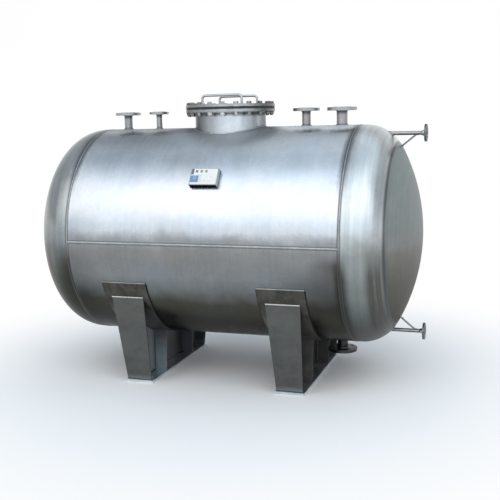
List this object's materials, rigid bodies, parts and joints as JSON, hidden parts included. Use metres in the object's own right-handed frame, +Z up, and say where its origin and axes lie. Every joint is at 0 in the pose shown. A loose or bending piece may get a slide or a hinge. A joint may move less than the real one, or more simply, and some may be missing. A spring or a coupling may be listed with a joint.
{
  "type": "horizontal storage tank",
  "caption": "Horizontal stainless storage tank on two saddles, with dished heads, a bolted manway with handles, top nozzles, level gauge nozzles and a drain.",
  "frame": {"origin": "on the floor, under the middle of the overall length", "axes": "+X along the vessel towards the level gauge end, +Z up, -Y the front with the nameplate"},
  "size_m": [2.2268, 1.217, 1.629],
  "materials": {
    "shell": "rolled stainless plate with a fine mill finish",
    "left_head": "polished dished stainless head",
    "right_head": "polished dished stainless head",
    "left_girth_weld": "weld bead with straw and brown heat tint beside it",
    "right_girth_weld": "weld bead with straw and brown heat tint beside it",
    "long_seam_weld": "weld bead with straw and brown heat tint beside it",
    "manway_neck": "stainless pipe, handled and slightly dull",
    "manway_flange": "turned stainless plate flange",
    "manway_gasket": "matt black rubber sheet, cut edge",
    "manway_cover": "turned stainless plate flange",
    "front_cover_handle": "bent bright stainless rod",
    "rear_cover_handle": "bent bright stainless rod",
    "left_outer_nozzle_pipe": "stainless pipe, handled and slightly dull",
    "left_outer_nozzle_flange": "turned stainless plate flange",
    "left_inner_nozzle_pipe": "stainless pipe, handled and slightly dull",
    "left_inner_nozzle_flange": "turned stainless plate flange",
    "right_inner_nozzle_pipe": "stainless pipe, handled and slightly dull",
    "right_inner_nozzle_flange": "turned stainless plate flange",
    "right_outer_nozzle_pipe": "stainless pipe, handled and slightly dull",
    "right_outer_nozzle_flange": "turned stainless plate flange",
    "drain_nozzle_pipe": "stainless pipe, handled and slightly dull",
    "drain_nozzle_flange": "turned stainless plate flange",
    "upper_gauge_pipe": "stainless pipe, handled and slightly dull",
    "upper_gauge_flange": "turned stainless plate flange",
    "upper_gauge_brace": "stainless pipe, handled and slightly dull",
    "lower_gauge_pipe": "stainless pipe, handled and slightly dull",
    "lower_gauge_flange": "turned stainless plate flange",
    "lower_gauge_brace": "stainless pipe, handled and slightly dull",
    "left_saddle_wear_plate": "hot-rolled and pickled stainless plate, dull grey",
    "left_saddle_web": "hot-rolled and pickled stainless plate, dull grey",
    "left_saddle_outer_ribs": "hot-rolled and pickled stainless plate, dull grey",
    "left_saddle_inner_ribs": "hot-rolled and pickled stainless plate, dull grey",
    "left_saddle_base": "hot-rolled and pickled stainless plate, dull grey",
    "right_saddle_wear_plate": "hot-rolled and pickled stainless plate, dull grey",
    "right_saddle_web": "hot-rolled and pickled stainless plate, dull grey",
    "right_saddle_outer_ribs": "hot-rolled and pickled stainless plate, dull grey",
    "right_saddle_inner_ribs": "hot-rolled and pickled stainless plate, dull grey",
    "right_saddle_base": "hot-rolled and pickled stainless plate, dull grey",
    "nameplate_bracket": "stainless pipe, handled and slightly dull",
    "nameplate": "bare printed-finish aluminium sheet, no print"
  },
  "bodies": {
    "root": {"shell": "shell", "left_head": "left_head", "right_head": "right_head", "left_girth_weld": "left_girth_weld", "right_girth_weld": "right_girth_weld", "long_seam_weld": "long_seam_weld", "manway_neck": "manway_neck", "manway_flange": "manway_flange", "manway_gasket": "manway_gasket", "manway_cover": "manway_cover", "front_cover_handle": "front_cover_handle", "rear_cover_handle": "rear_cover_handle", "left_outer_nozzle_pipe": "left_outer_nozzle_pipe", "left_outer_nozzle_flange": "left_outer_nozzle_flange", "left_inner_nozzle_pipe": "left_inner_nozzle_pipe", "left_inner_nozzle_flange": "left_inner_nozzle_flange", "right_inner_nozzle_pipe": "right_inner_nozzle_pipe", "right_inner_nozzle_flange": "right_inner_nozzle_flange", "right_outer_nozzle_pipe": "right_outer_nozzle_pipe", "right_outer_nozzle_flange": "right_outer_nozzle_flange", "drain_nozzle_pipe": "drain_nozzle_pipe", "drain_nozzle_flange": "drain_nozzle_flange", "upper_gauge_pipe": "upper_gauge_pipe", "upper_gauge_flange": "upper_gauge_flange", "upper_gauge_brace": "upper_gauge_brace", "lower_gauge_pipe": "lower_gauge_pipe", "lower_gauge_flange": "lower_gauge_flange", "lower_gauge_brace": "lower_gauge_brace", "left_saddle_wear_plate": "left_saddle_wear_plate", "left_saddle_web": "left_saddle_web", "left_saddle_outer_ribs": "left_saddle_outer_ribs", "left_saddle_inner_ribs": "left_saddle_inner_ribs", "left_saddle_base": "left_saddle_base", "right_saddle_wear_plate": "right_saddle_wear_plate", "right_saddle_web": "right_saddle_web", "right_saddle_outer_ribs": "right_saddle_outer_ribs", "right_saddle_inner_ribs": "right_saddle_inner_ribs", "right_saddle_base": "right_saddle_base", "nameplate_bracket": "nameplate_bracket", "nameplate": "nameplate"}
  },
  "joints": []
}
